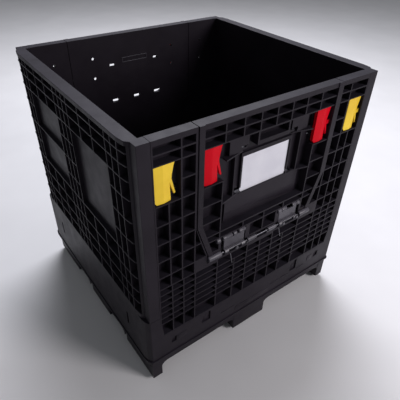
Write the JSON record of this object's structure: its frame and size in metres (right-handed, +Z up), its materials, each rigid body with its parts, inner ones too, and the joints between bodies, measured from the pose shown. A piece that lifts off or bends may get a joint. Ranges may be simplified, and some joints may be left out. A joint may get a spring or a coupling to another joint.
{
  "type": "bulk pallet box",
  "caption": "Collapsible black plastic bulk pallet box with ribbed walls, fork openings, yellow and red slide latches and a hinged drop door in each end wall",
  "frame": {"origin": "on the floor, under the middle of the box", "axes": "+Z up, -Y out of the front wall, which has the labelled door, +X to the right seen from the front"},
  "size_m": [0.842, 0.8, 0.868],
  "materials": {
    "black_body": "moulded, fine grain, satin",
    "yellow_latch": "moulded, satin",
    "red_latch": "moulded, satin",
    "grey_fitting": "moulded, satin",
    "white_card": "smooth card, bare",
    "rod_steel": "blackened rod"
  },
  "bodies": {
    "base": {"pallet_base": "black_body", "left_wall": "black_body", "right_wall": "black_body", "left_wall_hinge_rod": "rod_steel", "right_wall_hinge_rod": "rod_steel", "front_wall_hinge_rod": "rod_steel", "back_wall_hinge_rod": "rod_steel"},
    "front_wall_panel": {"front_wall": "black_body", "front_door_hinge_rod": "rod_steel", "front_rod_clip_left": "grey_fitting", "front_rod_clip_right": "grey_fitting"},
    "front_door_panel": {"front_door": "black_body", "front_door_hinge_plate_left": "grey_fitting", "front_door_hinge_plate_right": "grey_fitting", "label_plate": "white_card"},
    "front_wall_latch_left_slider": {"front_wall_latch_left": "yellow_latch"},
    "front_wall_latch_right_slider": {"front_wall_latch_right": "yellow_latch"},
    "front_door_latch_left_slider": {"front_door_latch_left": "red_latch"},
    "front_door_latch_right_slider": {"front_door_latch_right": "red_latch"},
    "back_wall_panel": {"back_wall": "black_body", "back_door_hinge_rod": "rod_steel", "back_rod_clip_left": "grey_fitting", "back_rod_clip_right": "grey_fitting"},
    "back_door_panel": {"back_door": "black_body", "back_door_hinge_plate_left": "grey_fitting", "back_door_hinge_plate_right": "grey_fitting"},
    "back_wall_latch_left_slider": {"back_wall_latch_left": "yellow_latch"},
    "back_wall_latch_right_slider": {"back_wall_latch_right": "yellow_latch"},
    "back_door_latch_left_slider": {"back_door_latch_left": "red_latch"},
    "back_door_latch_right_slider": {"back_door_latch_right": "red_latch"}
  },
  "joints": [
    {"name": "front_wall_fold", "type": "hinge", "parent": "base", "child": "front_wall_panel", "pos_m": [0, -0.372, 0.164], "axis": [1, 0, 0], "range_deg": [-90, 0]},
    {"name": "front_door_drop", "type": "hinge", "parent": "front_wall_panel", "child": "front_door_panel", "pos_m": [0, -0.391, 0.44], "axis": [1, 0, 0], "range_deg": [0, 172]},
    {"name": "front_wall_latch_left_slide", "type": "slide", "parent": "front_wall_panel", "child": "front_wall_latch_left_slider", "axis": [1, 0, 0], "range_m": [0, 0.01], "stiffness_N_per_m": 500, "springref_m": -0.004},
    {"name": "front_wall_latch_right_slide", "type": "slide", "parent": "front_wall_panel", "child": "front_wall_latch_right_slider", "axis": [-1, 0, 0], "range_m": [0, 0.01], "stiffness_N_per_m": 500, "springref_m": -0.004},
    {"name": "front_door_latch_left_slide", "type": "slide", "parent": "front_door_panel", "child": "front_door_latch_left_slider", "axis": [1, 0, 0], "range_m": [0, 0.01], "stiffness_N_per_m": 500, "springref_m": -0.004},
    {"name": "front_door_latch_right_slide", "type": "slide", "parent": "front_door_panel", "child": "front_door_latch_right_slider", "axis": [-1, 0, 0], "range_m": [0, 0.01], "stiffness_N_per_m": 500, "springref_m": -0.004},
    {"name": "back_wall_fold", "type": "hinge", "parent": "base", "child": "back_wall_panel", "pos_m": [0, 0.372, 0.206], "axis": [-1, 0, 0], "range_deg": [-90, 0]},
    {"name": "back_door_drop", "type": "hinge", "parent": "back_wall_panel", "child": "back_door_panel", "pos_m": [0, 0.391, 0.44], "axis": [-1, 0, 0], "range_deg": [0, 172]},
    {"name": "back_wall_latch_left_slide", "type": "slide", "parent": "back_wall_panel", "child": "back_wall_latch_left_slider", "axis": [-1, 0, 0], "range_m": [0, 0.01], "stiffness_N_per_m": 500, "springref_m": -0.004},
    {"name": "back_wall_latch_right_slide", "type": "slide", "parent": "back_wall_panel", "child": "back_wall_latch_right_slider", "axis": [1, 0, 0], "range_m": [0, 0.01], "stiffness_N_per_m": 500, "springref_m": -0.004},
    {"name": "back_door_latch_left_slide", "type": "slide", "parent": "back_door_panel", "child": "back_door_latch_left_slider", "axis": [-1, 0, 0], "range_m": [0, 0.01], "stiffness_N_per_m": 500, "springref_m": -0.004},
    {"name": "back_door_latch_right_slide", "type": "slide", "parent": "back_door_panel", "child": "back_door_latch_right_slider", "axis": [1, 0, 0], "range_m": [0, 0.01], "stiffness_N_per_m": 500, "springref_m": -0.004}
  ]
}
